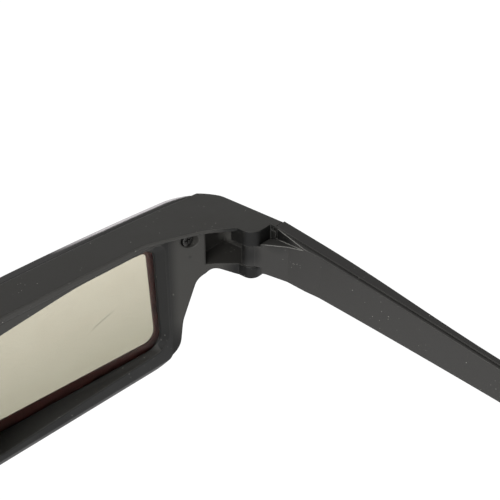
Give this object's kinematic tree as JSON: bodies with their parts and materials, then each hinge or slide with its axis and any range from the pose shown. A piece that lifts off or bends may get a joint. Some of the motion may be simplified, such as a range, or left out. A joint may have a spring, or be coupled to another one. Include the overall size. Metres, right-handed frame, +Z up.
{
  "type": "3d glasses",
  "caption": "Shutter glasses for 3-D pictures: deep wrapped brow frame, liquid-crystal lenses, gloss front cover, folding temples and a sprung power button.",
  "frame": {"origin": "middle of the bounding box, at the level the rims and temple tips stand on", "axes": "+X to the wearer's left, across the width; +Y back along the open temples, so the wearer looks along -Y; +Z up"},
  "size_m": [0.18, 0.166, 0.0405],
  "materials": {
    "frame_plastic": "moulded with a fine spark-eroded grain",
    "cover_gloss": "moulded in a polished tool",
    "pad_rubber": "soft moulded, matt",
    "screw_steel": "turned, plain zinc",
    "polariser_film": "cast film, smooth",
    "lens_glass": "float glass",
    "seal_resin": "printed resin edge",
    "gasket_foam": "die-cut foam",
    "flat_cable": "laminated film",
    "circuit_board": "solder mask",
    "chip_resin": "moulded resin",
    "battery_foil": "pressed foil pouch",
    "socket_steel": "pressed sheet",
    "switch_plastic": "moulded",
    "button_plastic": "moulded, satin",
    "clear_plastic": "moulded clear",
    "dark_window": "infrared-passing tint, polished"
  },
  "bodies": {
    "frame": {"rear_housing": "frame_plastic", "front_cover": "cover_gloss", "nose_pad": "pad_rubber", "frame_screws": "screw_steel", "right_hinge_pin": "screw_steel", "left_hinge_pin": "screw_steel", "right_rear_film": "polariser_film", "right_front_film": "polariser_film", "left_rear_film": "polariser_film", "left_front_film": "polariser_film", "right_rear_glass": "lens_glass", "right_front_glass": "lens_glass", "left_rear_glass": "lens_glass", "left_front_glass": "lens_glass", "right_edge_seal": "seal_resin", "left_edge_seal": "seal_resin", "right_lens_gasket": "gasket_foam", "left_lens_gasket": "gasket_foam", "right_lens_tail": "flat_cable", "left_lens_tail": "flat_cable", "brow_ribbon": "flat_cable", "main_board": "circuit_board", "sensor_board": "circuit_board", "board_chips": "chip_resin", "socket_tongue": "chip_resin", "battery_cell": "battery_foil", "charge_socket": "socket_steel", "tactile_switch": "switch_plastic", "status_led": "clear_plastic", "light_pipe": "clear_plastic", "sync_sensor": "dark_window", "sensor_window": "dark_window"},
    "right_temple": {"right_temple_arm": "frame_plastic", "right_temple_cover": "frame_plastic"},
    "left_temple": {"left_temple_arm": "frame_plastic", "left_temple_cover": "frame_plastic"},
    "power_button": {"power_button": "button_plastic", "switch_plunger": "button_plastic"}
  },
  "joints": [
    {"name": "right_temple_fold", "type": "hinge", "parent": "frame", "child": "right_temple", "pos_m": [-0.0832, -0.0538, 0.033], "axis": [0, 0, -1], "range_deg": [0, 85]},
    {"name": "left_temple_fold", "type": "hinge", "parent": "frame", "child": "left_temple", "pos_m": [0.0832, -0.0538, 0.033], "axis": [0, 0, 1], "range_deg": [0, 90]},
    {"name": "power_button_press", "type": "slide", "parent": "frame", "child": "power_button", "axis": [0, 0, -1], "range_m": [0, 0.0004], "stiffness_N_per_m": 400}
  ]
}
